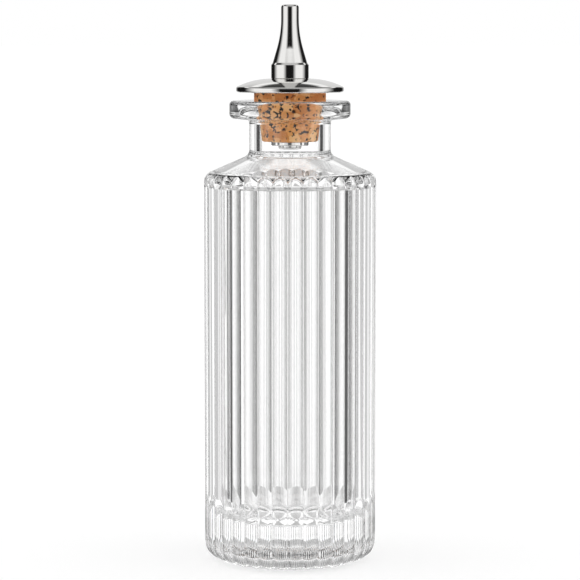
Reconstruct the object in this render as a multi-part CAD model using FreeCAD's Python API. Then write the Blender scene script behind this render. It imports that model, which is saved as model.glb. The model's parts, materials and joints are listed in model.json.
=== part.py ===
import FreeCAD
import Part
import math
import os

# A ribbed glass bitters bottle with a cork dasher stopper, in millimetres, +Z up.
# The origin is the centre of the foot ring that the bottle stands on, and +Z is the bottle's axis.
# Every piece is turned about that axis, and the bottle's wall then takes its upright ribs.
# The stopper comes apart into a cork, a domed disc, a dasher nozzle, the hollow stem that joins them,
# and the washer and shouldered nut that clamp the cork from below.

# Glass body and its ribs
body_radius = 24.5
body_height = 110.3
body_wall = 2.6
base_thickness = 12.2
cavity_corner_radius = 7.0
heel_radius = 5.0
foot_ring_width = 2.2
foot_edge_radius = 0.5
base_push_up = 1.2
base_dome_share = 0.45
rib_count = 34
rib_depth = 1.25
rib_width_share = 0.965
rib_root = 0.06
rib_end_sink = 0.17

# Glass shoulder and neck
shoulder_angle = 23.7
shoulder_edge_radius = 0.6
rib_top_radius = 2.7
shoulder_wall = 2.5
cavity_shoulder_radius = 3.0
neck_wall = 3.0
neck_length = 9.8
neck_root_radius = 2.2
neck_inner_root_radius = 1.2

# Glass lip, and the tapered seat in its mouth that the cork closes
lip_overhang = 5.6
lip_height = 5.5
lip_under_rise = 0.6
lip_root_radius = 0.9
lip_lower_radius = 1.4
lip_upper_radius = 1.2
mouth_edge_radius = 0.5
seat_depth = 6.6
seat_clearance = 0.1

# Cork stopper: a plug in the bore, a steeper taper in the seat, and a head above the lip
cork_bottom_radius = 7.95
cork_plug_taper = 0.55
cork_plug_length = 4.9
cork_seat_taper = 1.7
cork_head_height = 2.4
cork_top_edge_radius = 0.25
cork_bottom_edge_radius = 0.7

# Hollow stem, and the clearance round it in every hole that it passes through
stem_radius = 2.0
stem_wall = 0.8
stem_end_chamfer = 0.25
stem_clearance = 0.08

# Domed disc
disc_radius = 15.3
disc_rim_thickness = 1.45
disc_rim_radius = 0.6
disc_dome_rise = 2.35
disc_land_margin = 0.25
disc_dome_share = 0.45

# Dasher nozzle
nozzle_height = 20.85
nozzle_collar_radius = 5.35
nozzle_collar_height = 3.9
nozzle_collar_edge_radius = 0.25
nozzle_step_height = 0.6
nozzle_step_width = 0.45
nozzle_cone_angle = 16.5
nozzle_tip_radius = 2.5
nozzle_tip_edge_radius = 0.8
nozzle_flare_radius = 30.0
nozzle_outlet_radius = 1.0
nozzle_outlet_edge_radius = 0.3
nozzle_socket_depth = 6.0

# Washer and shouldered nut under the cork
nut_sleeve_wall = 0.5
nut_sleeve_length = 3.7
nut_sleeve_clearance = 0.08
nut_shoulder_width = 0.72
nut_head_height = 1.05
nut_head_edge_radius = 0.75
nut_inlet_lip = 0.35
washer_thickness = 1.2
washer_margin = 2.05
washer_edge_radius = 0.35

# An outline leaves out any line shorter than this
shortest_line = 1e-6

# Radii that follow from the sizes above
cavity_radius = body_radius - body_wall
plain_radius = body_radius - rib_depth
cork_throat_radius = cork_bottom_radius + cork_plug_taper
cork_top_radius = cork_throat_radius + cork_seat_taper
bore_radius = cork_throat_radius + seat_clearance
mouth_radius = cork_top_radius + seat_clearance
neck_radius = bore_radius + neck_wall
lip_radius = neck_radius + lip_overhang
stem_bore_radius = stem_radius - stem_wall
stem_hole_radius = stem_radius + stem_clearance
nut_sleeve_radius = stem_hole_radius + nut_sleeve_wall
nut_hole_radius = nut_sleeve_radius + nut_sleeve_clearance
nut_head_radius = nut_hole_radius + nut_shoulder_width
washer_radius = nut_head_radius + washer_margin

# Heights of the glass
shoulder_slope = math.tan(math.radians(shoulder_angle))
shoulder_drop = shoulder_wall / math.cos(math.radians(shoulder_angle))
neck_root_z = body_height + (body_radius - neck_radius) * shoulder_slope
lip_under_z = neck_root_z + neck_length
lip_top_z = lip_under_z + lip_height
seat_bottom_z = lip_top_z - seat_depth
cavity_shoulder_z = body_height + body_wall * shoulder_slope - shoulder_drop
cavity_neck_z = cavity_shoulder_z + (cavity_radius - bore_radius) * shoulder_slope
plain_top_z = body_height + rib_depth * shoulder_slope
rib_bottom_z = heel_radius + rib_end_sink
rib_top_z = body_height - rib_top_radius * math.tan(math.radians(90 - shoulder_angle) / 2) - rib_end_sink

# Heights of the stopper, which hangs from its seat in the mouth
cork_bottom_z = seat_bottom_z - cork_plug_length
cork_top_z = lip_top_z + cork_head_height
disc_land_z = cork_top_z + disc_rim_thickness + disc_dome_rise
socket_top_z = disc_land_z + nozzle_socket_depth
nozzle_top_z = disc_land_z + nozzle_height
washer_bottom_z = cork_bottom_z - washer_thickness
nut_bottom_z = washer_bottom_z - nut_head_height
nut_top_z = washer_bottom_z + nut_sleeve_length
stem_bottom_z = nut_bottom_z + nut_inlet_lip


def rounded_outline(corners):
    """A closed wire in the XZ plane through (radius, height, corner radius) points."""
    points = [FreeCAD.Vector(radius, 0, height) for radius, height, _ in corners]
    starts, arcs, ends = [], [], []
    for index, (_, _, corner_radius) in enumerate(corners):
        corner = points[index]
        back = (points[index - 1] - corner).normalize()
        ahead = (points[(index + 1) % len(points)] - corner).normalize()
        half_angle = back.getAngle(ahead) / 2
        inward = (back + ahead).normalize()
        tangent = corner_radius / math.tan(half_angle)
        starts.append(corner + back * tangent)
        ends.append(corner + ahead * tangent)
        arc_middle = corner + inward * (corner_radius / math.sin(half_angle) - corner_radius)
        arcs.append(Part.Arc(starts[-1], arc_middle, ends[-1]) if corner_radius > 0 else None)
    edges = []
    for index, arc in enumerate(arcs):
        if arc is not None:
            edges.append(arc.toShape())
        following = starts[(index + 1) % len(points)]
        if ends[index].distanceToPoint(following) > shortest_line:
            edges.append(Part.LineSegment(ends[index], following).toShape())
    return Part.Wire(edges)


def turned(corners):
    """A solid of revolution about the bottle's axis, from the corners of its half section."""
    section = Part.Face(rounded_outline(corners))
    return section.revolve(FreeCAD.Vector(0, 0, 0), FreeCAD.Vector(0, 0, 1), 360)


def dome_corner(flat_radius, rim_radius, rise, dome_share):
    """The corner between a dome's level top and its slope to the rim, and the arc that rounds it off."""
    tangent = dome_share * (rim_radius - flat_radius)
    slope = math.atan2(rise, rim_radius - flat_radius - tangent)
    return flat_radius + tangent, tangent / math.tan(slope / 2)


def from_front(radius, angle, height):
    """A point at a radius, a height, and an angle round from the front of the bottle."""
    return FreeCAD.Vector(radius * math.sin(angle), -radius * math.cos(angle), height)


def rib_section(height):
    """The level section of the rib in front: an arc over its crest, closed by a chord just inside the plain wall."""
    half_width = rib_width_share * math.pi / rib_count
    left = from_front(plain_radius - rib_root, -half_width, height)
    crest = from_front(body_radius, 0, height)
    right = from_front(plain_radius - rib_root, half_width, height)
    return Part.Face(Part.Wire([Part.Arc(left, crest, right).toShape(), Part.LineSegment(right, left).toShape()]))


def front_rib():
    """The rib in front: upright along the wall, and bent inwards at both ends until it sinks into the glass."""
    lower, upper = rib_section(rib_bottom_z), rib_section(rib_top_z)
    upright = lower.extrude(FreeCAD.Vector(0, 0, rib_top_z - rib_bottom_z))
    heel_bend = from_front(body_radius - heel_radius, 0, rib_bottom_z)
    shoulder_bend = from_front(body_radius - rib_top_radius, 0, rib_top_z)
    heel_end = lower.revolve(heel_bend, FreeCAD.Vector(1, 0, 0), 90)
    shoulder_end = upper.revolve(shoulder_bend, FreeCAD.Vector(-1, 0, 0), 90)
    return upright.multiFuse([heel_end, shoulder_end]).Solids[0]


def ribs():
    """The ribs all round the wall, turned by half a pitch so that a valley is in front."""
    rib = front_rib()
    half_pitch = 180 / rib_count
    axis = (FreeCAD.Vector(0, 0, 0), FreeCAD.Vector(0, 0, 1))
    return [rib.rotated(*axis, half_pitch * (2 * index + 1)) for index in range(rib_count)]


def glass_bottle():
    """The bottle in one piece: pushed-up heavy base, ribbed wall, sloped shoulder, neck and wide lip."""
    foot_inner_radius = plain_radius - heel_radius - foot_ring_width
    push_up_radius, push_up_arc = dome_corner(0, foot_inner_radius, base_push_up, base_dome_share)
    plain_bottle = turned([
        (0, base_push_up, 0),
        (push_up_radius, base_push_up, push_up_arc),
        (foot_inner_radius, 0, foot_edge_radius),
        (plain_radius, 0, heel_radius),
        (plain_radius, plain_top_z, shoulder_edge_radius),
        (neck_radius, neck_root_z, neck_root_radius),
        (neck_radius, lip_under_z, lip_root_radius),
        (lip_radius, lip_under_z + lip_under_rise, lip_lower_radius),
        (lip_radius, lip_top_z, lip_upper_radius),
        (mouth_radius, lip_top_z, mouth_edge_radius),
        (bore_radius, seat_bottom_z, 0),
        (bore_radius, cavity_neck_z, neck_inner_root_radius),
        (cavity_radius, cavity_shoulder_z, cavity_shoulder_radius),
        (cavity_radius, base_thickness, cavity_corner_radius),
        (0, base_thickness, 0),
    ])
    return plain_bottle.multiFuse(ribs()).Solids[0]


def cork_stopper():
    """The cork, drilled for the stem and, from below, for the nut's sleeve."""
    return turned([
        (stem_hole_radius, cork_top_z, 0),
        (cork_top_radius, cork_top_z, cork_top_edge_radius),
        (cork_top_radius, lip_top_z, 0),
        (cork_throat_radius, seat_bottom_z, 0),
        (cork_bottom_radius, cork_bottom_z, cork_bottom_edge_radius),
        (nut_hole_radius, cork_bottom_z, 0),
        (nut_hole_radius, nut_top_z, 0),
        (stem_hole_radius, nut_top_z, 0),
    ])


def cap_disc():
    """The disc on the cork: level below, domed above, with a level land for the nozzle's collar."""
    land_radius = nozzle_collar_radius + disc_land_margin
    dome_radius, dome_arc = dome_corner(land_radius, disc_radius, disc_dome_rise, disc_dome_share)
    return turned([
        (stem_hole_radius, cork_top_z, 0),
        (disc_radius, cork_top_z, disc_rim_radius),
        (disc_radius, cork_top_z + disc_rim_thickness, disc_rim_radius),
        (dome_radius, disc_land_z, dome_arc),
        (stem_hole_radius, disc_land_z, 0),
    ])


def dasher_nozzle():
    """The spout: a collar, a step and a cone that flares into the tip, with a socket and an outlet."""
    collar_top_z = disc_land_z + nozzle_collar_height
    cone_base_z = collar_top_z + nozzle_step_height
    cone_radius = nozzle_collar_radius - nozzle_step_width
    cone_rise = (cone_radius - nozzle_tip_radius) / math.tan(math.radians(nozzle_cone_angle))
    return turned([
        (stem_hole_radius, disc_land_z, 0),
        (nozzle_collar_radius, disc_land_z, nozzle_collar_edge_radius),
        (nozzle_collar_radius, collar_top_z, 0),
        (cone_radius, cone_base_z, 0),
        (nozzle_tip_radius, cone_base_z + cone_rise, nozzle_flare_radius),
        (nozzle_tip_radius, nozzle_top_z, nozzle_tip_edge_radius),
        (nozzle_outlet_radius, nozzle_top_z, nozzle_outlet_edge_radius),
        (nozzle_outlet_radius, socket_top_z, 0),
        (stem_hole_radius, socket_top_z, 0),
    ])


def stem_tube():
    """The hollow stem, from the nut's inlet up through the cork and disc to the end of the nozzle's socket."""
    return turned([
        (stem_bore_radius, stem_bottom_z, 0),
        (stem_radius - stem_end_chamfer, stem_bottom_z, 0),
        (stem_radius, stem_bottom_z + stem_end_chamfer, 0),
        (stem_radius, socket_top_z - stem_end_chamfer, 0),
        (stem_radius - stem_end_chamfer, socket_top_z, 0),
        (stem_bore_radius, socket_top_z, 0),
    ])


def clamp_washer():
    """The wide washer that spreads the nut's pull over the cork's lower end."""
    return turned([
        (nut_hole_radius, cork_bottom_z, 0),
        (washer_radius, cork_bottom_z, 0),
        (washer_radius, washer_bottom_z, washer_edge_radius),
        (nut_hole_radius, washer_bottom_z, 0),
    ])


def end_nut():
    """The shouldered nut: a low round head under the washer, a sleeve up into the cork, and the inlet."""
    return turned([
        (stem_bore_radius, nut_bottom_z, 0),
        (nut_head_radius, nut_bottom_z, nut_head_edge_radius),
        (nut_head_radius, washer_bottom_z, 0),
        (nut_sleeve_radius, washer_bottom_z, 0),
        (nut_sleeve_radius, nut_top_z, 0),
        (stem_hole_radius, nut_top_z, 0),
        (stem_hole_radius, stem_bottom_z, 0),
        (stem_bore_radius, stem_bottom_z, 0),
    ])


pieces = {
    "glass_bottle": glass_bottle(),
    "cork_stopper": cork_stopper(),
    "cap_disc": cap_disc(),
    "dasher_nozzle": dasher_nozzle(),
    "stem_tube": stem_tube(),
    "clamp_washer": clamp_washer(),
    "end_nut": end_nut(),
}

os.makedirs("parts", exist_ok=True)
for node, shape in pieces.items():
    shape.exportStep(f"parts/{node}.step")
    print(node, shape.ShapeType, shape.isValid(), f"{shape.Volume / 1000:.2f} cm3", len(shape.Faces), "faces")
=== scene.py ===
# %% [markdown]
# # A ribbed bitters bottle with a cork dasher stopper
# The real bottle is pressed glass, so clear that the eye reads it only by its ribs, its thick
# base and the dark lines at its edges. A cork closes it and carries a turned steel dasher, and
# a washer and a nut hold the two together from below. The solid model already has every piece
# in its place, so it loads first, as a fixed frame that nothing below moves.

# %% Load the solid model as the frame
import json
import math

import bmesh
import bpy
from mathutils import Matrix, Vector

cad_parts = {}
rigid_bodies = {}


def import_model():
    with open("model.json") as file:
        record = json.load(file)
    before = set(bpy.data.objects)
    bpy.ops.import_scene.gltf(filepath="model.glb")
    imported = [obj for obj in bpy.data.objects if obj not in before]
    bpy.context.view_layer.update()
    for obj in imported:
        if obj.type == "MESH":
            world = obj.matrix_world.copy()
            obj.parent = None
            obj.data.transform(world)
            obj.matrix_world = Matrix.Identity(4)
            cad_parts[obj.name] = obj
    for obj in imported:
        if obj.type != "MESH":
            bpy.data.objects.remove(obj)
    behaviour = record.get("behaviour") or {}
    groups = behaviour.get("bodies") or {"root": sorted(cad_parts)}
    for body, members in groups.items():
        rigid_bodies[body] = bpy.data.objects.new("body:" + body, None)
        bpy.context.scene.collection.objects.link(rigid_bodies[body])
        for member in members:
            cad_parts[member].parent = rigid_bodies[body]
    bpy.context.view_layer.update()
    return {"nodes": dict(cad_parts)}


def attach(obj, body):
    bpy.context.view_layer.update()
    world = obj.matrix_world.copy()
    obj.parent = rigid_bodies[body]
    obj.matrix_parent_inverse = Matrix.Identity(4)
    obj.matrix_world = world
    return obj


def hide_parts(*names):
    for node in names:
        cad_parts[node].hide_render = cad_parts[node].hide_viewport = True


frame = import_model()

# %% [markdown]
# ## Sizes
# The sizes are the solid model's own, in millimetres. They could be measured from the loaded
# meshes, but written out they can be read, and each section below can be drawn from them.
# Radii and heights that follow from others are worked out, so that one change carries through.

# %% Sizes of the glass
body_radius, body_height, body_wall = 24.5, 110.3, 2.6
base_thickness, cavity_corner_radius = 12.2, 7.0
heel_radius, foot_ring_width, foot_edge_radius = 5.0, 2.2, 0.5
base_push_up, base_dome_share = 1.2, 0.45
rib_count, rib_depth, rib_width_share, rib_root = 34, 1.25, 0.965, 0.06
rib_end_sink, rib_top_radius = 0.17, 2.7
shoulder_angle, shoulder_edge_radius, shoulder_wall = 23.7, 0.6, 2.5
cavity_shoulder_radius, neck_wall, neck_length = 3.0, 3.0, 9.8
neck_root_radius, neck_inner_root_radius = 2.2, 1.2
lip_overhang, lip_height, lip_under_rise = 5.6, 5.5, 0.6
lip_root_radius, lip_lower_radius, lip_upper_radius = 0.9, 1.4, 1.2
mouth_edge_radius, seat_depth, seat_clearance = 0.5, 6.6, 0.1
print("body:", body_radius, "mm radius,", body_height, "mm to the shoulder")

# %% Sizes of the stopper
cork_bottom_radius, cork_plug_taper, cork_plug_length = 7.95, 0.55, 4.9
cork_seat_taper, cork_head_height = 1.7, 2.4
cork_top_edge_radius, cork_bottom_edge_radius = 0.25, 0.7
stem_radius, stem_clearance, stem_wall = 2.0, 0.08, 0.8
disc_radius, disc_rim_thickness, disc_rim_radius = 15.3, 1.45, 0.6
disc_dome_rise, disc_land_margin, disc_dome_share = 2.35, 0.25, 0.45
nozzle_height, collar_radius, collar_height, collar_edge_radius = 20.85, 5.35, 3.9, 0.25
step_height, step_width, cone_angle = 0.6, 0.45, 16.5
tip_radius, tip_edge_radius, flare_radius = 2.5, 0.8, 30.0
outlet_radius, outlet_edge_radius, socket_depth = 1.0, 0.3, 6.0
nut_sleeve_wall, nut_sleeve_length, nut_sleeve_clearance = 0.5, 3.7, 0.08
nut_shoulder_width, nut_head_height, nut_head_edge_radius, nut_inlet_lip = 0.72, 1.05, 0.75, 0.35
washer_thickness, washer_margin, washer_edge_radius = 1.2, 2.05, 0.35
print("dasher:", disc_radius, "mm disc radius,", nozzle_height, "mm of nozzle")

# %% Radii and heights that follow
cavity_radius = body_radius - body_wall
plain_radius = body_radius - rib_depth
cork_throat_radius = cork_bottom_radius + cork_plug_taper
cork_top_radius = cork_throat_radius + cork_seat_taper
bore_radius = cork_throat_radius + seat_clearance
mouth_radius = cork_top_radius + seat_clearance
neck_radius = bore_radius + neck_wall
lip_radius = neck_radius + lip_overhang
stem_bore_radius = stem_radius - stem_wall
stem_hole_radius = stem_radius + stem_clearance
nut_sleeve_radius = stem_hole_radius + nut_sleeve_wall
nut_hole_radius = nut_sleeve_radius + nut_sleeve_clearance
nut_head_radius = nut_hole_radius + nut_shoulder_width
washer_radius = nut_head_radius + washer_margin
shoulder_slope = math.tan(math.radians(shoulder_angle))
neck_root_z = body_height + (body_radius - neck_radius) * shoulder_slope
lip_under_z = neck_root_z + neck_length
lip_top_z = lip_under_z + lip_height
seat_bottom_z = lip_top_z - seat_depth
shoulder_drop = shoulder_wall / math.cos(math.radians(shoulder_angle))
cavity_shoulder_z = body_height + body_wall * shoulder_slope - shoulder_drop
cavity_neck_z = cavity_shoulder_z + (cavity_radius - bore_radius) * shoulder_slope
plain_top_z = body_height + rib_depth * shoulder_slope
rib_bottom_z = heel_radius + rib_end_sink
rib_top_z = body_height - rib_top_radius * math.tan(math.radians(90 - shoulder_angle) / 2) - rib_end_sink
cork_bottom_z = seat_bottom_z - cork_plug_length
cork_top_z = lip_top_z + cork_head_height
disc_land_z = cork_top_z + disc_rim_thickness + disc_dome_rise
socket_top_z = disc_land_z + socket_depth
nozzle_top_z = disc_land_z + nozzle_height
washer_bottom_z = cork_bottom_z - washer_thickness
nut_bottom_z = washer_bottom_z - nut_head_height
nut_top_z = washer_bottom_z + nut_sleeve_length
stem_bottom_z = nut_bottom_z + nut_inlet_lip
print(f"bottle {2 * body_radius:.1f} mm wide, {nozzle_top_z:.1f} mm tall over the dasher")

# %% [markdown]
# ## Drawing a section
# Every piece of this bottle is round: pressed glass, a ground cork and lathe work all follow one
# half section carried round an axis. A section is written as a few corners, each with the
# radius that rounds it off. Corners could be rounded later with a Bevel modifier, but arcs in
# the section are exact, and glass shows every facet. A point close to each end of an arc keeps
# the smooth shading of the long straight runs from leaning into the corner.

# %% Corners to points
MM = 0.001
SUPPORT_MM = 0.1
FEWEST_ARC_STEPS = 4


def section_points(corners, arc_step=6.0):
    """Points (radius, height) in mm along a closed section of (radius, height, corner radius) corners."""
    places = [Vector(corner[:2]) for corner in corners]
    points = []
    for index, (radius, _, rounding) in enumerate(corners):
        corner = places[index]
        back = (places[index - 1] - corner).normalized()
        ahead = (places[(index + 1) % len(places)] - corner).normalized()
        half = back.angle(ahead) / 2
        if radius == 0 or math.isclose(half, math.pi / 2, abs_tol=1e-4):
            points.append(corner)
            continue
        tangent = rounding / math.tan(half)
        start = corner + back * tangent
        end = corner + ahead * tangent
        if (places[index - 1] - corner).length > tangent + SUPPORT_MM:
            points.append(start + back * SUPPORT_MM)
        if rounding == 0:
            points.append(corner)
        else:
            centre = corner + (back + ahead).normalized() * rounding / math.sin(half)
            turn = (start - centre).angle_signed(end - centre)
            steps = max(FEWEST_ARC_STEPS, math.ceil(abs(math.degrees(turn)) / arc_step))
            for step in range(steps + 1):
                points.append(centre + Matrix.Rotation(-turn * step / steps, 2) @ (start - centre))
        points.append(end + ahead * SUPPORT_MM)
    return points


def dome_corner(flat_radius, rim_radius, rise, dome_share):
    """The corner between a dome's level top and its slope to the rim, and the arc that rounds it."""
    tangent = dome_share * (rim_radius - flat_radius)
    slope = math.atan2(rise, rim_radius - flat_radius - tangent)
    return flat_radius + tangent, tangent / math.tan(slope / 2)


square = [(1, 0, 0.2), (3, 0, 0.2), (3, 2, 0.2), (1, 2, 0.2)]
print("a rounded square has", len(section_points(square)), "points")

# %% [markdown]
# ## One small helper for nodes
# Geometry, materials and light are all node trees here. This function adds one node of any
# kind, sets its properties, and fills its inputs from values or from other nodes. A whole tree
# then reads from top to bottom like a recipe.

# %% Add a node


def add(tree, kind, fill=None, **settings):
    """A new node. fill maps an input to a value, or to a node or socket that is linked to it."""
    node = tree.nodes.new(kind)
    for name, value in settings.items():
        setattr(node, name, value)
    for key, value in (fill or {}).items():
        if isinstance(value, bpy.types.Node):
            value = next(socket for socket in value.outputs if socket.enabled)
        if isinstance(value, bpy.types.NodeSocket):
            tree.links.new(value, node.inputs[key])
        else:
            node.inputs[key].default_value = value
    return node


def new_tree(name, inputs, output):
    """An empty geometry tree with named inputs, and its one output."""
    tree = bpy.data.node_groups.new(name, "GeometryNodeTree")
    for label, kind in inputs.items():
        tree.interface.new_socket(label, in_out="INPUT", socket_type=f"NodeSocket{kind}")
    tree.interface.new_socket(output[0], in_out="OUTPUT", socket_type=f"NodeSocket{output[1]}")
    return tree, add(tree, "NodeGroupInput").outputs


print("node helper ready")

# %% [markdown]
# ## The rule of the ribs
# The mould for the body has 34 hollow flutes, so each rib of the glass is the outer side of a
# round rod that stands upright in the wall. Seen from above, a rod of radius q whose middle is c
# from the axis reaches out to c cos a + sqrt(q^2 - (c sin a)^2) at an angle a from its crest. At
# the heel and the shoulder the rod bends inwards round a level line that is b from the axis: a
# point that was d beyond that line keeps its distance, so t past the end of the upright rod it
# is at b + sqrt(d^2 - t^2). Ribs could be modelled one by one and copied round, but a rule gives
# the whole wall at once.

# %% A tree for one rib's reach
rib_reach, given = new_tree("rib_reach", {
    "Angle": "Float", "Height": "Float", "Crest": "Float", "Rod Radius": "Float",
    "Low End": "Float", "High End": "Float", "Low Bend": "Float", "High Bend": "Float",
}, ("Reach", "Float"))
centre = add(rib_reach, "ShaderNodeMath", {0: given["Crest"], 1: given["Rod Radius"]}, operation="SUBTRACT")
cosine = add(rib_reach, "ShaderNodeMath", {0: given["Angle"]}, operation="COSINE")
sine = add(rib_reach, "ShaderNodeMath", {0: given["Angle"]}, operation="SINE")
along = add(rib_reach, "ShaderNodeMath", {0: centre, 1: cosine}, operation="MULTIPLY")
across = add(rib_reach, "ShaderNodeMath", {0: centre, 1: sine}, operation="MULTIPLY")
across_squared = add(rib_reach, "ShaderNodeMath", {0: across, 1: across}, operation="MULTIPLY")
rod = given["Rod Radius"]
rod_squared = add(rib_reach, "ShaderNodeMath", {0: rod, 1: rod}, operation="MULTIPLY")
chord_squared = add(rib_reach, "ShaderNodeMath", {0: rod_squared, 1: across_squared}, operation="SUBTRACT")
chord = add(rib_reach, "ShaderNodeMath", {0: chord_squared}, operation="SQRT")
upright = add(rib_reach, "ShaderNodeMath", {0: along, 1: chord}, operation="ADD")
print("upright rib:", len(rib_reach.nodes), "nodes")

# %% The bends at the rib's two ends
below = add(rib_reach, "ShaderNodeMath", {0: given["Low End"], 1: given["Height"]}, operation="SUBTRACT")
above = add(rib_reach, "ShaderNodeMath", {0: given["Height"], 1: given["High End"]}, operation="SUBTRACT")
past_end = add(rib_reach, "ShaderNodeMath", {0: below, 1: above}, operation="MAXIMUM")
past = add(rib_reach, "ShaderNodeMath", {0: past_end, 1: 0.0}, operation="MAXIMUM")
is_high = add(rib_reach, "ShaderNodeMath", {0: above, 1: 0.0}, operation="GREATER_THAN")
bend = add(rib_reach, "ShaderNodeMix", {"Factor": is_high, 2: given["Low Bend"], 3: given["High Bend"]},
           data_type="FLOAT")
line = add(rib_reach, "ShaderNodeMath", {0: given["Crest"], 1: bend}, operation="SUBTRACT")
beyond = add(rib_reach, "ShaderNodeMath", {0: upright, 1: line}, operation="SUBTRACT")
beyond_squared = add(rib_reach, "ShaderNodeMath", {0: beyond, 1: beyond}, operation="MULTIPLY")
past_squared = add(rib_reach, "ShaderNodeMath", {0: past, 1: past}, operation="MULTIPLY")
left = add(rib_reach, "ShaderNodeMath", {0: beyond_squared, 1: past_squared}, operation="SUBTRACT")
still_there = add(rib_reach, "ShaderNodeMath", {0: left, 1: 0.0}, operation="GREATER_THAN")
bent_in = add(rib_reach, "ShaderNodeMath", {0: left}, operation="SQRT")
out = add(rib_reach, "ShaderNodeMath", {0: bent_in, 1: line}, operation="ADD")
reach = add(rib_reach, "ShaderNodeMath", {0: out, 1: still_there}, operation="MULTIPLY")
add(rib_reach, "NodeGroupOutput", {"Reach": reach})
print("rib_reach tree:", len(rib_reach.nodes), "nodes")

# %% [markdown]
# ## Turning a section with Geometry Nodes
# Blender's Screw modifier also turns a section, but its columns are evenly spaced and it knows
# nothing of ribs. This tree takes a flat grid and bends it: a grid row is a point of the
# section, and a grid column is an angle round the axis. Columns can crowd together towards the
# valleys, where the glass bends most. A section point carries its radius in X, its height in Z
# and, in Y, a mark of whether its row takes ribs. On a marked row each point keeps the larger of
# the plain radius and the rib's reach, with the meeting line softened as heat does.

# %% A tree that turns a section
turned_piece, given = new_tree("turned_piece", {
    "Section": "Geometry", "Sectors": "Int", "Columns": "Int", "Crowding": "Float",
    "Crest": "Float", "Rod Radius": "Float", "Low End": "Float", "High End": "Float",
    "Low Bend": "Float", "High Bend": "Float", "Softness": "Float", "Material": "Material",
}, ("Mesh", "Geometry"))
rows = add(turned_piece, "GeometryNodeAttributeDomainSize", {"Geometry": given["Section"]})
all_columns = add(turned_piece, "FunctionNodeIntegerMath", {0: given["Sectors"], 1: given["Columns"]},
                  operation="MULTIPLY")
grid_columns = add(turned_piece, "FunctionNodeIntegerMath", {0: all_columns, 1: 1}, operation="ADD")
grid = add(turned_piece, "GeometryNodeMeshGrid", {"Vertices X": grid_columns, "Vertices Y": rows})
index = add(turned_piece, "GeometryNodeInputIndex")
row = add(turned_piece, "FunctionNodeIntegerMath", {0: index, 1: rows}, operation="MODULO")
column = add(turned_piece, "FunctionNodeIntegerMath", {0: index, 1: rows}, operation="DIVIDE_FLOOR")
sector = add(turned_piece, "FunctionNodeIntegerMath", {0: column, 1: given["Columns"]},
             operation="DIVIDE_FLOOR")
step = add(turned_piece, "FunctionNodeIntegerMath", {0: column, 1: given["Columns"]}, operation="MODULO")
position = add(turned_piece, "GeometryNodeInputPosition")
on_section = add(turned_piece, "GeometryNodeSampleIndex",
                 {"Geometry": given["Section"], "Value": position, "Index": row}, data_type="FLOAT_VECTOR")
section_place = add(turned_piece, "ShaderNodeSeparateXYZ", {0: on_section}).outputs
print("rows and columns:", len(turned_piece.nodes), "nodes")

# %% The angle of each column
half_pitch = add(turned_piece, "ShaderNodeMath", {0: math.pi, 1: given["Sectors"]}, operation="DIVIDE")
share = add(turned_piece, "ShaderNodeMath", {0: step, 1: given["Columns"]}, operation="DIVIDE")
from_crest = add(turned_piece, "ShaderNodeMath", {0: share, 1: 2.0, 2: -1.0}, operation="MULTIPLY_ADD")
side = add(turned_piece, "ShaderNodeMath", {0: from_crest}, operation="SIGN")
size = add(turned_piece, "ShaderNodeMath", {0: from_crest}, operation="ABSOLUTE")
from_valley = add(turned_piece, "ShaderNodeMath", {0: 1.0, 1: size}, operation="SUBTRACT")
crowded = add(turned_piece, "ShaderNodeMath", {0: from_valley, 1: given["Crowding"]}, operation="POWER")
spread = add(turned_piece, "ShaderNodeMath", {0: 1.0, 1: crowded}, operation="SUBTRACT")
lean = add(turned_piece, "ShaderNodeMath", {0: spread, 1: half_pitch}, operation="MULTIPLY")
signed_lean = add(turned_piece, "ShaderNodeMath", {0: lean, 1: side}, operation="MULTIPLY")
crest_number = add(turned_piece, "ShaderNodeMath", {0: sector, 1: 2.0, 2: 1.0}, operation="MULTIPLY_ADD")
angle = add(turned_piece, "ShaderNodeMath", {0: crest_number, 1: half_pitch, 2: signed_lean},
            operation="MULTIPLY_ADD")
print("with angles:", len(turned_piece.nodes), "nodes")

# %% The radius of each point, and the finished mesh
WELD_MM = 0.001
rib = add(turned_piece, "GeometryNodeGroup", node_tree=rib_reach)
rib_labels = ("Crest", "Rod Radius", "Low End", "High End", "Low Bend", "High Bend")
rib_sizes = {label: given[label] for label in rib_labels}
for label, source in {"Angle": lean.outputs[0], "Height": section_place["Z"], **rib_sizes}.items():
    turned_piece.links.new(source, rib.inputs[label])
ribbed = add(turned_piece, "ShaderNodeMath", {0: section_place["X"], 1: rib, 2: given["Softness"]},
             operation="SMOOTH_MAX")
radius = add(turned_piece, "ShaderNodeMix", {"Factor": section_place["Y"], 2: section_place["X"], 3: ribbed},
             data_type="FLOAT")
sine = add(turned_piece, "ShaderNodeMath", {0: angle}, operation="SINE")
cosine = add(turned_piece, "ShaderNodeMath", {0: angle}, operation="COSINE")
to_right = add(turned_piece, "ShaderNodeMath", {0: radius, 1: sine}, operation="MULTIPLY")
to_back = add(turned_piece, "ShaderNodeMath", {0: radius, 1: cosine}, operation="MULTIPLY")
to_front = add(turned_piece, "ShaderNodeMath", {0: to_back, 1: -1.0}, operation="MULTIPLY")
place = add(turned_piece, "ShaderNodeCombineXYZ", {"X": to_right, "Y": to_front, "Z": section_place["Z"]})
bent = add(turned_piece, "GeometryNodeSetPosition", {"Geometry": grid, "Position": place})
closed = add(turned_piece, "GeometryNodeMergeByDistance", {"Geometry": bent, "Distance": WELD_MM * MM})
smooth = add(turned_piece, "GeometryNodeSetShadeSmooth", {0: closed, "Shade Smooth": True})
real = add(turned_piece, "GeometryNodeRealizeInstances", {0: smooth})
dressed = add(turned_piece, "GeometryNodeSetMaterial", {"Geometry": real, "Material": given["Material"]})
add(turned_piece, "NodeGroupOutput", {"Mesh": dressed})
print("turned_piece tree:", len(turned_piece.nodes), "nodes")

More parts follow.
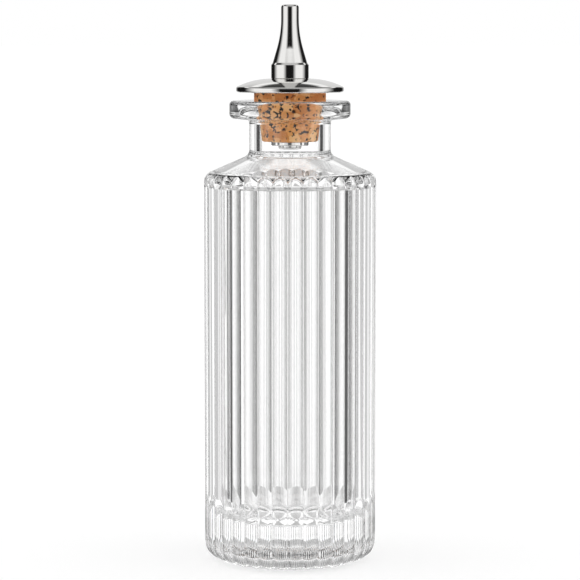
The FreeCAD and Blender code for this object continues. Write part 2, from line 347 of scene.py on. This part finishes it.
# %% [markdown]
# ## From a tree to a plain mesh
# A modifier's inputs are filled by each socket's identifier. The evaluated result is then copied
# into an ordinary mesh and the modifier goes, so that the piece is no more than points and faces
# when it joins the frame. The signed volume shows that its faces point outwards.

# %% Turn a piece, and make a mesh of it
CM3_PER_M3 = 1e6


def apply_tree(piece, tree, values):
    """Puts a geometry tree on a piece as a modifier, with the values of its named inputs."""
    modifier = piece.modifiers.new(tree.name, "NODES")
    modifier.node_group = tree
    for socket in tree.interface.items_tree:
        if socket.in_out == "INPUT" and socket.name in values:
            modifier[socket.identifier] = values[socket.name]


def settle(piece):
    """Turns what a piece's modifiers make into its own plain mesh, and measures it."""
    graph = bpy.context.evaluated_depsgraph_get()
    made = piece.evaluated_get(graph)
    mesh = bpy.data.meshes.new_from_object(made, preserve_all_data_layers=True, depsgraph=graph)
    piece.modifiers.clear()
    piece.data = mesh
    mesh.name = piece.name
    measure = bmesh.new()
    measure.from_mesh(mesh)
    open_edges = sum(not edge.is_manifold for edge in measure.edges)
    triangles = sum(len(face.verts) - 2 for face in measure.faces)
    volume = measure.calc_volume(signed=True) * CM3_PER_M3
    print(f"{piece.name}: {triangles} triangles, {open_edges} open edges, {volume:.2f} cm3")
    measure.free()


def with_rows(points, spacing):
    """The same closed section with points added between its own, none further apart than the spacing."""
    rows = []
    for start, end in zip(points, points[1:] + points[:1]):
        steps = max(1, math.ceil((end - start).length / spacing))
        rows += [start.lerp(end, step / steps) for step in range(steps)]
    return rows


def turned(name, corners, material, columns=128, arc_step=6.0, row_spacing=None, ribs=None, takes_ribs=None):
    """A piece turned from the corners of its half section. takes_ribs picks its ribbed points."""
    outline = section_points(corners, arc_step)
    if row_spacing:
        outline = with_rows(outline, row_spacing)
    if corners[0][0] > 0:
        outline.append(outline[0])
    marks = [1.0 if takes_ribs and takes_ribs(point) else 0.0 for point in outline]
    mesh = bpy.data.meshes.new(f"{name}_section")
    mesh.from_pydata([(point.x * MM, mark, point.y * MM) for point, mark in zip(outline, marks)], [], [])
    piece = bpy.data.objects.new(name, mesh)
    bpy.context.scene.collection.objects.link(piece)
    plain = {"Sectors": 1, "Columns": columns, "Crowding": 1.0, "Material": material}
    apply_tree(piece, turned_piece, {**plain, **(ribs or {})})
    return piece


print("lathe ready")

# %% [markdown]
# ## Colours
# Colours are written as the sRGB hex values that a paint chart or a picture editor would show.
# Blender's shaders work with linear light, so one function converts them.

# %% Hex to linear


def colour(code):
    """A linear colour, with alpha, from an sRGB hex code such as '#C08A55'."""
    channels = [int(code[place:place + 2], 16) / 255 for place in (1, 3, 5)]
    linear = [value / 12.92 if value <= 0.04045 else ((value + 0.055) / 1.055) ** 2.4 for value in channels]
    return (*linear, 1.0)


def new_material(name):
    """A material with a bare Principled shader, as (material, tree, shader)."""
    material = bpy.data.materials.new(name)
    material.use_nodes = True
    return material, material.node_tree, material.node_tree.nodes["Principled BSDF"]


print("mid grey #808080 is", round(colour("#808080")[0], 3), "in linear light")

# %% [markdown]
# ## Pressed soda-lime glass
# Bottle glass is soda-lime glass with a refractive index of about 1.52. Pressed against a hot
# iron mould its skin is fire-bright, yet never quite flat: slow ripples a few millimetres wide
# make straight lines seen through it waver. A flat, perfect glass looks like plastic film, so
# a weak bump stretched along the ribs carries that ripple.

# %% Glass
GLASS_IOR, GLASS_ROUGHNESS = 1.52, 0.004
RIPPLE_MM, RIPPLE_HEIGHT_MM, RIPPLE_STRETCH = 9.0, 0.004, 0.35
glass, tree, shader = new_material("pressed_soda_lime_glass")
shader.inputs["Base Color"].default_value = colour("#FFFFFF")
shader.inputs["Transmission Weight"].default_value = 1.0
shader.inputs["IOR"].default_value = GLASS_IOR
spot = add(tree, "ShaderNodeTexCoord").outputs["Object"]
stretched = add(tree, "ShaderNodeMapping", {"Vector": spot, "Scale": (1.0, 1.0, RIPPLE_STRETCH)})
ripple = add(tree, "ShaderNodeTexNoise", {"Vector": stretched, "Scale": 1 / (RIPPLE_MM * MM), "Detail": 1.0})
wave = ripple.outputs["Fac"]
bump = add(tree, "ShaderNodeBump", {"Height": wave, "Strength": 1.0, "Distance": RIPPLE_HEIGHT_MM * MM})
polish = add(tree, "ShaderNodeMapRange", {"Value": wave, "To Min": 0.0, "To Max": GLASS_ROUGHNESS})
tree.links.new(bump.outputs["Normal"], shader.inputs["Normal"])
tree.links.new(polish.outputs["Result"], shader.inputs["Roughness"])
print("glass: index", GLASS_IOR)

# %% [markdown]
# ## The bottle
# The section starts at the middle of the pushed-up base, goes out and up the outside, turns in
# over the lip and comes down the inside to the thick floor. Both ends lie on the axis, so the
# glass is one closed skin with true thickness, which is what makes it bend light as a bottle
# does. The rod behind a rib is found from three points: the crest, and the two roots where the
# rib rises from the plain wall. Rows stand close together where the ribs end, for their round tips.

# %% The ribs of the bottle
RIB_SOFTNESS_MM, RIB_COLUMNS, RIB_CROWDING = 0.4, 14, 1.4
root_angle = rib_width_share * math.pi / rib_count
root_out = (plain_radius - rib_root) * math.cos(root_angle)
root_aside = (plain_radius - rib_root) * math.sin(root_angle)
rod_centre = (body_radius**2 - root_out**2 - root_aside**2) / (2 * (body_radius - root_out))
ribs = {
    "Sectors": rib_count, "Columns": RIB_COLUMNS, "Crowding": RIB_CROWDING, "Softness": RIB_SOFTNESS_MM * MM,
    "Crest": body_radius * MM, "Rod Radius": (body_radius - rod_centre) * MM,
    "Low End": rib_bottom_z * MM, "Low Bend": heel_radius * MM,
    "High End": rib_top_z * MM, "High Bend": rib_top_radius * MM,
}
print(f"{rib_count} ribs from rods of {body_radius - rod_centre:.2f} mm radius")

# %% Turn the ribbed bottle
TIP_ROW_MM, ROWS_BELOW_TIP, FIRST_SLOPE_ROW, LAST_SLOPE_ROW = 0.14, 2, 5, 13
tip_height = plain_top_z - shoulder_edge_radius - rib_top_z
tip_rows = range(-ROWS_BELOW_TIP, int(tip_height / TIP_ROW_MM))
wall_rows = [(plain_radius, rib_top_z + row * TIP_ROW_MM, 0) for row in tip_rows]
runs = [row * TIP_ROW_MM for row in range(FIRST_SLOPE_ROW, LAST_SLOPE_ROW + 1)]
slope_rows = [(plain_radius - run, plain_top_z + run * shoulder_slope, 0) for run in runs]
foot_radius = plain_radius - heel_radius
push_up_radius, push_up_arc = dome_corner(0, foot_radius - foot_ring_width, base_push_up, base_dome_share)
mid_wall = (cavity_radius + plain_radius) / 2


def is_ribbed(point):
    """Whether a point of the bottle's section lies on the outside of its heel or wall."""
    return point.x > foot_radius and (point.x > mid_wall or point.y < heel_radius)


bottle = turned("ribbed_bottle", [
    (0, base_push_up, 0),
    (push_up_radius, base_push_up, push_up_arc),
    (foot_radius - foot_ring_width, 0, foot_edge_radius),
    (plain_radius, 0, heel_radius),
    *wall_rows,
    (plain_radius, plain_top_z, shoulder_edge_radius),
    *slope_rows,
    (neck_radius, neck_root_z, neck_root_radius),
    (neck_radius, lip_under_z, lip_root_radius),
    (lip_radius, lip_under_z + lip_under_rise, lip_lower_radius),
    (lip_radius, lip_top_z, lip_upper_radius),
    (mouth_radius, lip_top_z, mouth_edge_radius),
    (bore_radius, seat_bottom_z, 0),
    (bore_radius, cavity_neck_z, neck_inner_root_radius),
    (cavity_radius, cavity_shoulder_z, cavity_shoulder_radius),
    (cavity_radius, base_thickness, cavity_corner_radius),
    (0, base_thickness, 0),
], glass, ribs=ribs, takes_ribs=is_ribbed)
settle(bottle)

# %% [markdown]
# ## Agglomerated cork
# This stopper is cork granules bound together: warm tan grains two or three millimetres across,
# each a slightly different brown, with near-black flecks of bark and small torn pits. A picture
# could be wrapped round it, but a solid pattern also runs through the ends and the holes. The
# grains are Voronoi cells, and the pits come from the mesh itself as an attribute, so that a
# near-black, painted shade for the hollows, sits exactly in them. The head above the lip is
# painted a little darker than the plug, as painted shade for the disc's shadow over it.

# %% Cork grains
GRAIN_MM, WANDER_MM, WANDER_REACH_MM = 2.4, 1.1, 1.2
FINE_MM, FINE_HEIGHT_MM, FINE_STRENGTH, MOTTLE = 0.16, 0.05, 0.5, 0.35
GRAIN_TANS = ((0.0, "#D08443"), (0.45, "#E79E56"), (0.8, "#F7C285"), (1.0, "#DA904A"))
cork, tree, shader = new_material("agglomerated_cork")
spot = add(tree, "ShaderNodeTexCoord").outputs["Object"]
wander = add(tree, "ShaderNodeTexNoise", {"Vector": spot, "Scale": 1 / (WANDER_MM * MM), "Detail": 2.0})
shift = add(tree, "ShaderNodeVectorMath", {0: wander.outputs["Color"], 1: (0.5, 0.5, 0.5)},
            operation="SUBTRACT")
furthest = (WANDER_REACH_MM * MM,) * 3
warp = add(tree, "ShaderNodeVectorMath", {0: shift, 1: furthest, 2: spot}, operation="MULTIPLY_ADD")
grains = add(tree, "ShaderNodeTexVoronoi", {"Vector": warp, "Scale": 1 / (GRAIN_MM * MM)})
tone = add(tree, "ShaderNodeSeparateColor", {0: grains.outputs["Color"]})
tan = add(tree, "ShaderNodeValToRGB", {"Fac": tone})
for stop, code in GRAIN_TANS:
    at_end = {0.0: tan.color_ramp.elements[0], 1.0: tan.color_ramp.elements[-1]}
    point = at_end[stop] if stop in at_end else tan.color_ramp.elements.new(stop)
    point.color = colour(code)
fine = add(tree, "ShaderNodeTexNoise", {"Vector": spot, "Scale": 1 / (FINE_MM * MM), "Detail": 3.0})
mottled = add(tree, "ShaderNodeMix", {"Factor": MOTTLE, 6: tan, 7: fine.outputs["Color"]},
              data_type="RGBA", blend_type="OVERLAY")
print("cork: grains of", GRAIN_MM, "mm")

# %% Flecks, and painted shade in the pits and on the head
FLECK_MM, FLECK_EDGE, FLECK_FULL = 1.1, 0.6, 0.62
HEAD_SHADE_BELOW_MM, HEAD_SHADE_ABOVE_MM, HEAD_SHADE_DARKNESS = 0.6, 0.2, 0.4
CORK_ROUGHNESS = 0.8
fleck = add(tree, "ShaderNodeTexNoise", {"Vector": warp, "Scale": 1 / (FLECK_MM * MM), "Detail": 1.5})
bark = add(tree, "ShaderNodeMapRange",
           {"Value": fleck.outputs["Fac"], "From Min": FLECK_EDGE, "From Max": FLECK_FULL})
# Painted shade: the pit mask turns the hollows near-black, shade painted into them. The bark flecks are the
# cork's own dark bits and take the same near-black.
pit = add(tree, "ShaderNodeAttribute", attribute_name="pit")
dark = add(tree, "ShaderNodeMath", {0: bark, 1: pit.outputs["Fac"]}, operation="MAXIMUM")
height = add(tree, "ShaderNodeSeparateXYZ", {0: spot}).outputs["Z"]
# Painted shade: from just below the lip's top upwards, the cork's colour is multiplied towards a darker
# brown. This stands in for the disc's shadow on the head.
head_shade = add(tree, "ShaderNodeMapRange", {
    "Value": height, "From Min": (lip_top_z - HEAD_SHADE_BELOW_MM) * MM,
    "From Max": (lip_top_z + HEAD_SHADE_ABOVE_MM) * MM, "To Max": HEAD_SHADE_DARKNESS,
})
shaded_head = add(tree, "ShaderNodeMix", {"Factor": head_shade, 6: mottled.outputs[2], 7: colour("#A9784E")},
           data_type="RGBA", blend_type="MULTIPLY")
skin = add(tree, "ShaderNodeMix", {"Factor": dark, 6: shaded_head.outputs[2], 7: colour("#140F0B")},
           data_type="RGBA")
tree.links.new(skin.outputs[2], shader.inputs["Base Color"])
bump = add(tree, "ShaderNodeBump",
           {"Height": fine.outputs["Fac"], "Strength": FINE_STRENGTH, "Distance": FINE_HEIGHT_MM * MM})
tree.links.new(bump.outputs["Normal"], shader.inputs["Normal"])
shader.inputs["Roughness"].default_value = CORK_ROUGHNESS
print("cork: flecks of", FLECK_MM, "mm")

# %% [markdown]
# ## Pits in the cork
# Cutting tears a few grains out of the cork's face, and those pits break its outline when it is
# seen close. They could be painted, but a dent in the mesh catches light from every side. The
# tree below measures how near each point is to the middle of a Voronoi cell, keeps the cells
# whose random number is below a given share, and presses those places in along the normal. It
# leaves the drilled hole clean.

# %% A tree that finds the pits
RAGGED_SCALE, RAGGEDNESS = 2.6, 0.7
SMALLEST_SHARE, LARGEST_SHARE, PIT_FLOOR_SHARE = 0.16, 0.42, 0.6
cork_pits, given = new_tree("cork_pits", {
    "Cork": "Geometry", "Spacing": "Float", "Depth": "Float", "Share": "Float",
    "Hole Radius": "Float", "Seed": "Float", "Material": "Material",
}, ("Mesh", "Geometry"))
position = add(cork_pits, "GeometryNodeInputPosition")
seed_place = add(cork_pits, "ShaderNodeCombineXYZ", {part: given["Seed"] for part in "XYZ"})
scale = add(cork_pits, "ShaderNodeMath", {0: 1.0, 1: given["Spacing"]}, operation="DIVIDE")
counted = add(cork_pits, "ShaderNodeVectorMath", {0: position, "Scale": scale}, operation="SCALE")
moved = add(cork_pits, "ShaderNodeVectorMath", {0: counted, 1: seed_place}, operation="ADD")
wander = add(cork_pits, "ShaderNodeTexNoise", {"Vector": moved, "Scale": RAGGED_SCALE, "Detail": 2.0})
ragged = add(cork_pits, "ShaderNodeVectorMath",
             {0: wander.outputs["Color"], 1: (RAGGEDNESS,) * 3, 2: moved}, operation="MULTIPLY_ADD")
cells = add(cork_pits, "ShaderNodeTexVoronoi", {"Vector": ragged, "Scale": 1.0})
lot = add(cork_pits, "ShaderNodeSeparateXYZ", {0: cells.outputs["Color"]}).outputs
chosen = add(cork_pits, "ShaderNodeMath", {0: lot["X"], 1: given["Share"]}, operation="LESS_THAN")
reach = add(cork_pits, "ShaderNodeMapRange",
            {"Value": lot["Y"], "To Min": SMALLEST_SHARE, "To Max": LARGEST_SHARE})
hollow = add(cork_pits, "ShaderNodeMath", {0: cells.outputs["Distance"], 1: reach}, operation="DIVIDE")
edge = add(cork_pits, "ShaderNodeMapRange", {"Value": hollow, "From Min": 1.0, "From Max": PIT_FLOOR_SHARE},
           interpolation_type="SMOOTHSTEP")
print("pits found:", len(cork_pits.nodes), "nodes")

# %% Leave the hole clean and press the pits in
flat_place = add(cork_pits, "ShaderNodeVectorMath", {0: position, 1: (1.0, 1.0, 0.0)}, operation="MULTIPLY")
distance = add(cork_pits, "ShaderNodeVectorMath", {0: flat_place}, operation="LENGTH")
outside = add(cork_pits, "ShaderNodeMath", {0: distance.outputs["Value"], 1: given["Hole Radius"]},
              operation="GREATER_THAN")
picked = add(cork_pits, "ShaderNodeMath", {0: edge, 1: chosen}, operation="MULTIPLY")
pit = add(cork_pits, "ShaderNodeMath", {0: picked, 1: outside}, operation="MULTIPLY")
sunk = add(cork_pits, "ShaderNodeMath", {0: pit, 1: given["Depth"]}, operation="MULTIPLY")
inward = add(cork_pits, "ShaderNodeMath", {0: sunk, 1: -1.0}, operation="MULTIPLY")
normal = add(cork_pits, "GeometryNodeInputNormal")
press = add(cork_pits, "ShaderNodeVectorMath", {0: normal, "Scale": inward}, operation="SCALE")
# The pit mask is kept on the mesh, and the cork material uses it to paint shade into the hollows.
marked = add(cork_pits, "GeometryNodeStoreNamedAttribute",
             {"Geometry": given["Cork"], "Name": "pit", "Value": pit}, domain="POINT")
pressed = add(cork_pits, "GeometryNodeSetPosition", {"Geometry": marked, "Offset": press})
real = add(cork_pits, "GeometryNodeRealizeInstances", {0: pressed})
dressed = add(cork_pits, "GeometryNodeSetMaterial", {"Geometry": real, "Material": given["Material"]})
add(cork_pits, "NodeGroupOutput", {"Mesh": dressed})
print("cork_pits tree:", len(cork_pits.nodes), "nodes")

# %% [markdown]
# ## The cork stopper
# The cork is ground to two tapers, a plug for the bore and a steeper seat for the mouth, and it
# is drilled for the stem and for the nut's sleeve. Its straight sides need many rows here,
# because a pit smaller than the mesh could not show. Points are slipped into the section for
# that, about five to a millimetre.

# %% Turn the cork and press its pits
PIT_ROW_MM, PIT_COLUMNS = 0.22, 300
PIT_SPACING_MM, PIT_DEPTH_MM, PIT_SHARE, PIT_SEED, PIT_FREE_RADIUS_MM = 1.45, 0.3, 0.7, 4.0, 3.2
cork_corners = [
    (nut_hole_radius, cork_bottom_z, 0),
    (cork_bottom_radius, cork_bottom_z, cork_bottom_edge_radius),
    (cork_throat_radius, seat_bottom_z, 0),
    (cork_top_radius, lip_top_z, 0),
    (cork_top_radius, cork_top_z, cork_top_edge_radius),
    (stem_hole_radius, cork_top_z, 0),
    (stem_hole_radius, nut_top_z, 0),
    (nut_hole_radius, nut_top_z, 0),
]
stopper = turned("cork_stopper_body", cork_corners, cork, columns=PIT_COLUMNS, row_spacing=PIT_ROW_MM)
apply_tree(stopper, cork_pits, {
    "Spacing": PIT_SPACING_MM * MM, "Depth": PIT_DEPTH_MM * MM, "Share": PIT_SHARE,
    "Hole Radius": PIT_FREE_RADIUS_MM * MM, "Seed": PIT_SEED, "Material": cork,
})
settle(stopper)

# %% [markdown]
# ## Turned and polished steel
# The disc, nozzle, washer and nut are turned from stainless steel and buffed until they mirror
# the room, so they are mostly black and white stripes with hardly a grey of their own. Buffing
# leaves the last trace of the tool as very fine rings, every tenth of a millimetre along the
# profile. Rings that fine would not show in a picture this size, so they are drawn three times
# as coarse, and only as faint changes of height and of gloss.

# %% Steel
RING_MM, RING_HEIGHT_MM = 0.3, 0.0006
SMOOTHEST, ROUGHEST = 0.04, 0.09
steel, tree, shader = new_material("turned_polished_steel")
shader.inputs["Base Color"].default_value = colour("#EDECEA")
shader.inputs["Metallic"].default_value = 1.0
spot = add(tree, "ShaderNodeTexCoord").outputs["Object"]
axis = add(tree, "ShaderNodeSeparateXYZ", {0: spot}).outputs
level = add(tree, "ShaderNodeCombineXYZ", {"X": axis["X"], "Y": axis["Y"]})
out = add(tree, "ShaderNodeVectorMath", {0: level}, operation="LENGTH").outputs["Value"]
travel = add(tree, "ShaderNodeMath", {0: out, 1: axis["Z"]}, operation="ADD")
profile = add(tree, "ShaderNodeCombineXYZ", {"X": travel})
rings = add(tree, "ShaderNodeTexNoise", {"Vector": profile, "Scale": 1 / (RING_MM * MM), "Detail": 1.0})
groove = rings.outputs["Fac"]
bump = add(tree, "ShaderNodeBump", {"Height": groove, "Strength": 1.0, "Distance": RING_HEIGHT_MM * MM})
gloss = add(tree, "ShaderNodeMapRange", {"Value": groove, "To Min": SMOOTHEST, "To Max": ROUGHEST})
tree.links.new(bump.outputs["Normal"], shader.inputs["Normal"])
tree.links.new(gloss.outputs["Result"], shader.inputs["Roughness"])
print("steel: rings every", RING_MM, "mm")

# %% [markdown]
# ## The dasher and its clamp
# Four turned pieces show: the domed disc, the nozzle on it, and below the cork the washer and
# the shouldered nut. They could be kept as the solid model's own meshes, but those are loose
# triangles made for measuring, and a mirror finish shows every one of them. Turned again from
# the same corners, with a hair of rounding on each edge, they reflect cleanly.

# %% Turn the steel pieces
EDGE_MM = 0.12
DOME_STEP, FLARE_STEP = 3.0, 2.0
land_radius = collar_radius + disc_land_margin
dome_radius, dome_arc = dome_corner(land_radius, disc_radius, disc_dome_rise, disc_dome_share)
disc = turned("domed_disc", [
    (stem_hole_radius, cork_top_z, 0),
    (disc_radius, cork_top_z, disc_rim_radius),
    (disc_radius, cork_top_z + disc_rim_thickness, disc_rim_radius),
    (dome_radius, disc_land_z, dome_arc),
    (stem_hole_radius, disc_land_z, 0),
], steel, arc_step=DOME_STEP)
collar_top_z = disc_land_z + collar_height
cone_base_z = collar_top_z + step_height
cone_radius = collar_radius - step_width
cone_top_z = cone_base_z + (cone_radius - tip_radius) / math.tan(math.radians(cone_angle))
nozzle = turned("dasher_spout", [
    (stem_hole_radius, disc_land_z, 0),
    (collar_radius, disc_land_z, collar_edge_radius),
    (collar_radius, collar_top_z, EDGE_MM),
    (cone_radius, cone_base_z, EDGE_MM),
    (tip_radius, cone_top_z, flare_radius),
    (tip_radius, nozzle_top_z, tip_edge_radius),
    (outlet_radius, nozzle_top_z, outlet_edge_radius),
    (outlet_radius, socket_top_z, 0),
    (stem_hole_radius, socket_top_z, 0),
], steel, arc_step=FLARE_STEP)
washer = turned("clamp_washer_ring", [
    (nut_hole_radius, washer_bottom_z, EDGE_MM),
    (washer_radius, washer_bottom_z, washer_edge_radius),
    (washer_radius, cork_bottom_z, EDGE_MM),
    (nut_hole_radius, cork_bottom_z, EDGE_MM),
], steel)
nut = turned("shouldered_nut", [
    (stem_bore_radius, nut_bottom_z, 0),
    (nut_head_radius, nut_bottom_z, nut_head_edge_radius),
    (nut_head_radius, washer_bottom_z, 0),
    (nut_sleeve_radius, washer_bottom_z, 0),
    (nut_sleeve_radius, nut_top_z, 0),
    (stem_hole_radius, nut_top_z, 0),
    (stem_hole_radius, stem_bottom_z, 0),
    (stem_bore_radius, stem_bottom_z, 0),
], steel)
for piece in (disc, nozzle, washer, nut):
    settle(piece)

# %% [markdown]
# ## Joining the frame
# Each piece rides on the body that moves it and stands for its node of the solid model. The stem
# is hidden inside the others all but for its bore, so its own mesh stays and only takes the
# steel.

# %% Ride and replace
for piece, body, node, slot in (
    (bottle, "bottle", "glass_bottle", "clear_glass"),
    (stopper, "cork", "cork_stopper", "cork"),
    (disc, "dasher", "cap_disc", "polished_steel"),
    (nozzle, "dasher", "dasher_nozzle", "polished_steel"),
    (washer, "dasher", "clamp_washer", "polished_steel"),
    (nut, "dasher", "end_nut", "polished_steel"),
):
    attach(piece, body)
    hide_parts(node)
stem = frame["nodes"]["stem_tube"]
stem.data.materials.clear()
stem.data.materials.append(steel)

# %% [markdown]
# ## The studio
# A white sweep surrounds the bottle, with a broad soft light at each side, at a level that leaves
# dull colours about as they are written. Clear glass and mirror steel only show what is round
# them, and in a wholly white room they would vanish. A photographer stands dark cards beside the
# set for that. Here the world carries them, in five tones: each row of the table tells from which
# bearing on a card stands, from the front (0) to the back (180 degrees), and a LINEAR row fades
# from card to card. Eyes meet plain white, dull surfaces the soft light, and rays that left the
# steel or the glass the cards. The ribs throw light far round, so most cards for the glass stand
# at the sides and well behind.

# %% A bearing for each ray
world = bpy.data.worlds.new("studio")
bpy.context.scene.world = world
world.use_nodes = True
tree = world.node_tree
tree.nodes.clear()
sight = add(tree, "ShaderNodeTexCoord").outputs["Generated"]
direction = add(tree, "ShaderNodeSeparateXYZ", {0: sight}).outputs
facing = add(tree, "ShaderNodeMath", {0: direction["Y"], 1: -1.0}, operation="MULTIPLY")
bearing = add(tree, "ShaderNodeMath", {0: direction["X"], 1: facing}, operation="ARCTAN2")
turn = add(tree, "ShaderNodeMath", {0: bearing}, operation="ABSOLUTE")
half_turns = add(tree, "ShaderNodeMath", {0: turn, 1: math.pi}, operation="DIVIDE")
print("bearings:", len(tree.nodes), "nodes")

# %% The cards by bearing
HALF_TURN = 180
BLACK, DARK, GREY, PALE, WHITE = 0.01, 0.1, 0.45, 0.75, 1.0
FILL, SOFT_LIGHT = 0.78, 1.5
cards = {
    "steel": ("LINEAR", (0, BLACK), (20, BLACK), (40, WHITE), (80, WHITE), (110, BLACK), (150, BLACK),
              (170, PALE), (180, PALE)),
    "glass": ("CONSTANT", (0, DARK), (10, PALE), (30, WHITE), (60, DARK), (75, WHITE), (90, DARK),
              (120, BLACK), (135, GREY), (140, PALE), (145, GREY), (150, WHITE), (180, WHITE)),
    "over": ("CONSTANT", (0, DARK), (75, GREY), (105, PALE), (125, GREY), (135, PALE), (140, GREY),
             (145, DARK), (160, GREY), (180, GREY)),
    "under": ("CONSTANT", (0, GREY), (90, WHITE), (150, GREY), (180, GREY)),
    "dull": ("LINEAR", (0, FILL), (30, FILL), (75, SOFT_LIGHT), (105, SOFT_LIGHT), (150, FILL), (180, FILL)),
}
ramps = {}
for name, (edges, *stops) in cards.items():
    ramp = add(tree, "ShaderNodeValToRGB", {"Fac": half_turns})
    ramp.color_ramp.interpolation = edges
    for place, level in stops:
        at_end = {0: ramp.color_ramp.elements[0], HALF_TURN: ramp.color_ramp.elements[-1]}
        point = at_end[place] if place in at_end else ramp.color_ramp.elements.new(place / HALF_TURN)
        point.color = (level, level, level, 1.0)
    ramps[name] = ramp.outputs["Color"]
print("rows of cards:", sorted(ramps))

# %% [markdown]
# ## Cards higher and lower
# The cards also change with height, which is the upward part of a ray of length one. A card starts
# at one height and is full at the next. Over the steel hang a lit strip and a dark gap, which give
# the white wedge at the foot of the spout and the dark line above the rim of the disc, and the
# white floor shows in it only from straight below. The wall of the bottle keeps light nearly level,
# while the heel, the shoulder and the tips of the ribs turn it up or down, so glass that looks over
# or under the level cards meets others.

# %% The cards by height
white, shade, gap = ((tone, tone, tone, 1.0) for tone in (1.0, 0.6, 0.06))
height_cards = (
    ("steel", 0.49, 0.54, white), ("steel", 0.58, 0.66, gap), ("steel", 0.8, 0.9, shade),
    ("steel", -0.85, -0.95, white), ("glass", -0.04, 0.0, ramps["over"]), ("glass", 0.34, 0.36, white),
    ("glass", -0.34, -0.36, ramps["under"]),
)
for name, start, full, level in height_cards:
    beyond = add(tree, "ShaderNodeMapRange", {"Value": direction["Z"], "From Min": start, "From Max": full},
                 interpolation_type="SMOOTHSTEP")
    mixed = add(tree, "ShaderNodeMix", {"Factor": beyond, 6: ramps[name], 7: level}, data_type="RGBA")
    ramps[name] = mixed.outputs[2]
print("cards by height:", len(height_cards))

# %% [markdown]
# ## A world for each kind of ray
# Light Path tells what a ray did last. Each face of a wall keeps back about a twentieth of what is
# seen through it, and what the glass shows of the sweep is raised by that loss, to be as white as
# the sweep itself. Light that a dull surface has already sent back is plain again. Much of what
# should reach the cork in the neck is caught in the thick lip, and that loss is made good too, so
# that its colour shows about as it is written.

# %% What each kind of ray meets
GLASS_LOSS, LIP_LOSS = 0.18, 0.45
path = add(tree, "ShaderNodeLightPath").outputs
from_glass = path["Is Transmission Ray"]
first_hand = add(tree, "ShaderNodeMath", {0: path["Diffuse Depth"], 1: 0.5}, operation="LESS_THAN")
through = add(tree, "ShaderNodeMath", {0: from_glass, 1: first_hand}, operation="MULTIPLY")
bright = add(tree, "ShaderNodeMath", {0: path["Is Glossy Ray"], 1: from_glass}, operation="MAXIMUM")
mirrored = add(tree, "ShaderNodeMath", {0: bright, 1: first_hand}, operation="MULTIPLY")
light = ramps["dull"]
for factor, level in ((path["Is Camera Ray"], white), (mirrored, ramps["steel"]), (through, ramps["glass"])):
    light = add(tree, "ShaderNodeMix", {"Factor": factor, 6: light, 7: level}, data_type="RGBA").outputs[2]
shown = add(tree, "ShaderNodeMath", {0: through, 1: GLASS_LOSS, 2: 1.0}, operation="MULTIPLY_ADD")
behind = add(tree, "ShaderNodeMath", {0: from_glass, 1: through}, operation="SUBTRACT")
strength = add(tree, "ShaderNodeMath", {0: behind, 1: LIP_LOSS, 2: shown}, operation="MULTIPLY_ADD")
background = add(tree, "ShaderNodeBackground", {"Color": light, "Strength": strength})
add(tree, "ShaderNodeOutputWorld", {"Surface": background})
print("world:", len(tree.nodes), "nodes")

# %% [markdown]
# ## Light inside thick glass
# Light that enters the base or the shoulder can be mirrored inside the glass many times before it
# finds a way out. Blender follows only four mirrored turns unless it is told otherwise, and the
# light that it gives up on turns black. Twice as many clears the black blots from the base, and
# still leaves dark accents in the heel and the rib tips, as in the photograph.

# %% How far light is followed
for kind, turns in (("max_bounces", 16), ("transmission_bounces", 16), ("glossy_bounces", 8)):
    setattr(bpy.context.scene.cycles, kind, turns)
print("light is followed for", bpy.context.scene.cycles.max_bounces, "turns")

# %% [markdown]
# ## The floor
# The floor is pale and plain. Lit by the studio it sends back two fifths of the light, and a glow
# of its own brings it to white, so that it meets the background without a line and still keeps
# the bottle's soft shadow. Glass and steel look through it to the cards.

# %% Floor
FLOOR_REACH, FLOOR_TONE, FLOOR_GLOW = 30.0, 0.4, 0.6
floor_mesh = bpy.data.meshes.new("floor")
ways = ((-1, -1), (1, -1), (1, 1), (-1, 1))
floor_corners = [(FLOOR_REACH * right, FLOOR_REACH * back, 0) for right, back in ways]
floor_mesh.from_pydata(floor_corners, [], [(0, 1, 2, 3)])
floor = bpy.data.objects.new("floor", floor_mesh)
bpy.context.scene.collection.objects.link(floor)
floor.visible_glossy = False
floor.visible_transmission = False
paint, tree, shader = new_material("matt_white_paper")
shader.inputs["Base Color"].default_value = (FLOOR_TONE, FLOOR_TONE, FLOOR_TONE, 1.0)
shader.inputs["Roughness"].default_value = 1.0
shader.inputs["Specular IOR Level"].default_value = 0.0
shader.inputs["Emission Color"].default_value = white
shader.inputs["Emission Strength"].default_value = FLOOR_GLOW
floor_mesh.materials.append(paint)
print("floor laid")

# %% [markdown]
# ## The camera
# The photograph looks slightly down on the bottle from about 0.7 m, through a long lens
# that keeps its sides nearly parallel. The camera stands a degree and a half to the right of
# the front, because there the front valley falls just left of the middle, as it does in the
# photograph.

# %% Camera
CAMERA_DISTANCE, CAMERA_HEIGHT, CAMERA_PITCH, CAMERA_TURN = 0.70, 0.150, 5.93, 1.5
LENS_MM, SENSOR_MM = 152.9, 36.0
lens = bpy.data.cameras.new("camera")
lens.lens = LENS_MM
lens.sensor_width = SENSOR_MM
camera = bpy.data.objects.new("camera", lens)
bpy.context.scene.collection.objects.link(camera)
aside = math.radians(CAMERA_TURN)
camera.location = (CAMERA_DISTANCE * math.sin(aside), -CAMERA_DISTANCE * math.cos(aside), CAMERA_HEIGHT)
camera.rotation_euler = (math.radians(90 - CAMERA_PITCH), 0, aside)
bpy.context.scene.camera = camera
bpy.context.scene.view_settings.view_transform = "Standard"
print("camera at", tuple(round(value, 3) for value in camera.location))
